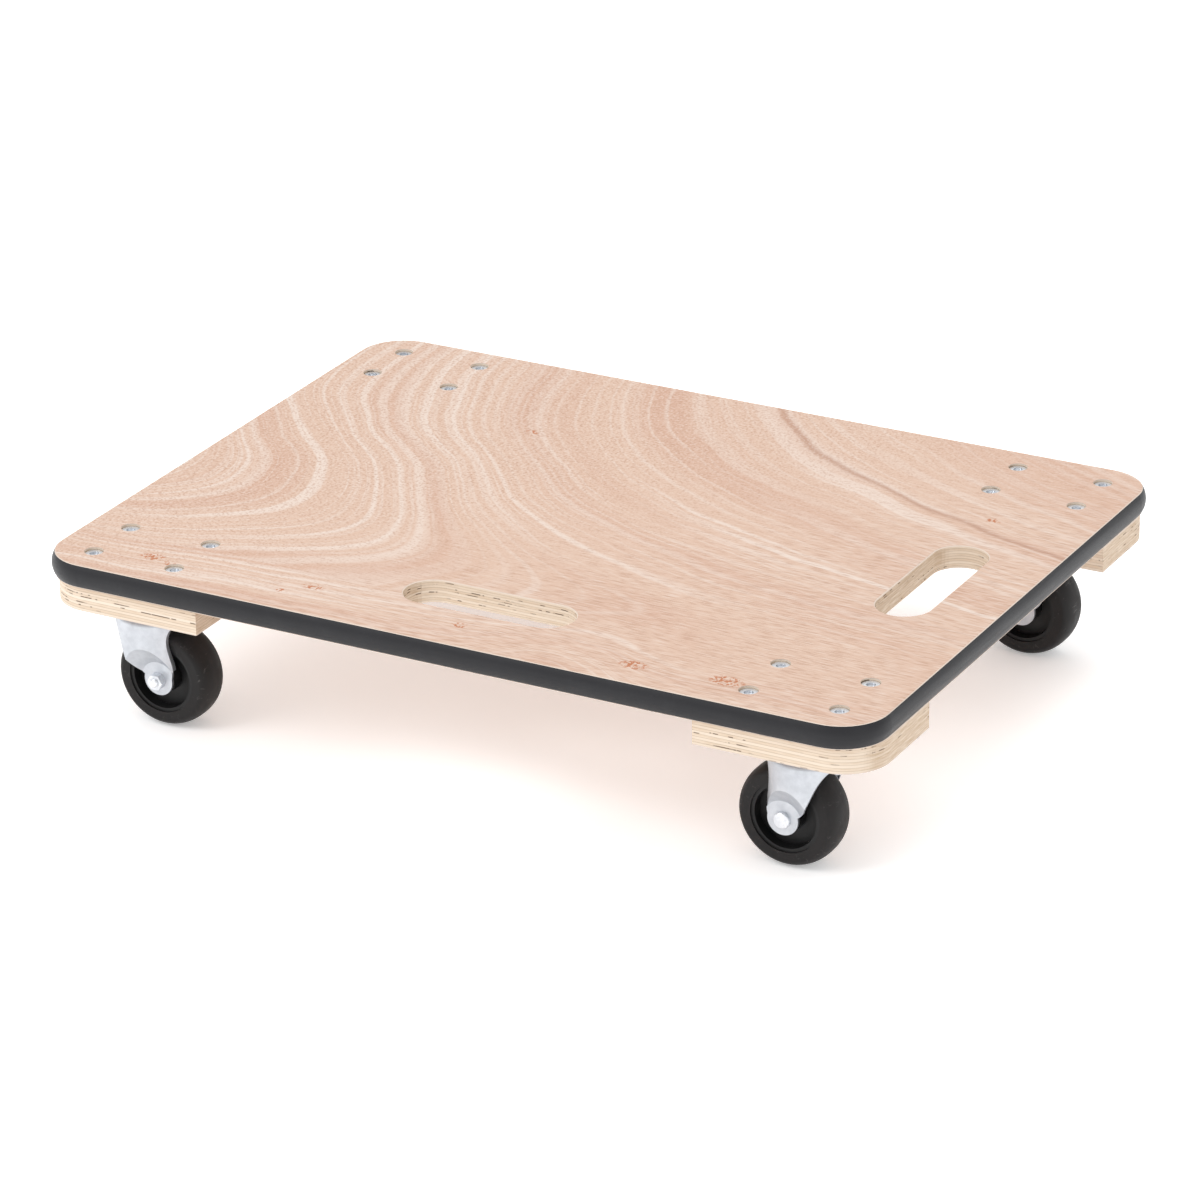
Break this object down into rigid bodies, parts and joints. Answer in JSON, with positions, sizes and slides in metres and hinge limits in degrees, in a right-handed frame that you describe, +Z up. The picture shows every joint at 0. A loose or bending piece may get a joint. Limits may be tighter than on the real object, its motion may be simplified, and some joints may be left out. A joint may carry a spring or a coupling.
{
  "type": "platform trolley",
  "caption": "Low plywood dolly with a black edge band, two slotted hand holes, corner blocks and swivel casters bolted on from below.",
  "frame": {"origin": "on the floor, under the centre of the deck", "axes": "+X along the long side, +Y across the deck, +Z up"},
  "size_m": [0.6046, 0.4546, 0.1215],
  "materials": {
    "plywood_face": "bare sanded veneer",
    "plywood_core": "bare sawn plywood",
    "black_pvc": "satin",
    "zinc": "bright zinc plate",
    "bearing_steel": "polished",
    "black_nylon": "matte",
    "black_rubber": "matte"
  },
  "bodies": {
    "deck": {"deck_board": "plywood_face", "edge_band": "black_pvc", "t_nuts": "zinc", "plate_bolts": "zinc", "spring_washers": "zinc", "corner_block_front_left": "plywood_core", "top_plate_front_left": "zinc", "kingpin_front_left": "zinc", "lower_race_front_left": "zinc", "corner_block_front_right": "plywood_core", "top_plate_front_right": "zinc", "kingpin_front_right": "zinc", "lower_race_front_right": "zinc", "corner_block_rear_left": "plywood_core", "top_plate_rear_left": "zinc", "kingpin_rear_left": "zinc", "lower_race_rear_left": "zinc", "corner_block_rear_right": "plywood_core", "top_plate_rear_right": "zinc", "kingpin_rear_right": "zinc", "lower_race_rear_right": "zinc"},
    "fork_front_left": {"fork_front_left": "zinc", "upper_balls_front_left": "bearing_steel", "lower_balls_front_left": "bearing_steel", "axle_bolt_front_left": "zinc", "axle_nut_front_left": "zinc", "axle_sleeve_front_left": "zinc"},
    "wheel_front_left": {"wheel_core_front_left": "black_nylon", "tyre_front_left": "black_rubber"},
    "fork_front_right": {"fork_front_right": "zinc", "upper_balls_front_right": "bearing_steel", "lower_balls_front_right": "bearing_steel", "axle_bolt_front_right": "zinc", "axle_nut_front_right": "zinc", "axle_sleeve_front_right": "zinc"},
    "wheel_front_right": {"wheel_core_front_right": "black_nylon", "tyre_front_right": "black_rubber"},
    "fork_rear_left": {"fork_rear_left": "zinc", "upper_balls_rear_left": "bearing_steel", "lower_balls_rear_left": "bearing_steel", "axle_bolt_rear_left": "zinc", "axle_nut_rear_left": "zinc", "axle_sleeve_rear_left": "zinc"},
    "wheel_rear_left": {"wheel_core_rear_left": "black_nylon", "tyre_rear_left": "black_rubber"},
    "fork_rear_right": {"fork_rear_right": "zinc", "upper_balls_rear_right": "bearing_steel", "lower_balls_rear_right": "bearing_steel", "axle_bolt_rear_right": "zinc", "axle_nut_rear_right": "zinc", "axle_sleeve_rear_right": "zinc"},
    "wheel_rear_right": {"wheel_core_rear_right": "black_nylon", "tyre_rear_right": "black_rubber"}
  },
  "joints": [
    {"name": "swivel_front_left", "type": "hinge", "parent": "deck", "child": "fork_front_left", "pos_m": [-0.2395, -0.1785, 0.0793], "axis": [0, 0, 1], "continuous": true},
    {"name": "wheel_spin_front_left", "type": "hinge", "parent": "fork_front_left", "child": "wheel_front_left", "pos_m": [-0.229, -0.1785, 0.035], "axis": [0, 1, 0], "continuous": true},
    {"name": "swivel_front_right", "type": "hinge", "parent": "deck", "child": "fork_front_right", "pos_m": [0.2395, -0.1785, 0.0793], "axis": [0, 0, 1], "continuous": true},
    {"name": "wheel_spin_front_right", "type": "hinge", "parent": "fork_front_right", "child": "wheel_front_right", "pos_m": [0.229, -0.1785, 0.035], "axis": [0, 1, 0], "continuous": true},
    {"name": "swivel_rear_left", "type": "hinge", "parent": "deck", "child": "fork_rear_left", "pos_m": [-0.2395, 0.1785, 0.0793], "axis": [0, 0, 1], "continuous": true},
    {"name": "wheel_spin_rear_left", "type": "hinge", "parent": "fork_rear_left", "child": "wheel_rear_left", "pos_m": [-0.229, 0.1785, 0.035], "axis": [0, 1, 0], "continuous": true},
    {"name": "swivel_rear_right", "type": "hinge", "parent": "deck", "child": "fork_rear_right", "pos_m": [0.2395, 0.1785, 0.0793], "axis": [0, 0, 1], "continuous": true},
    {"name": "wheel_spin_rear_right", "type": "hinge", "parent": "fork_rear_right", "child": "wheel_rear_right", "pos_m": [0.229, 0.1785, 0.035], "axis": [0, 1, 0], "continuous": true}
  ]
}
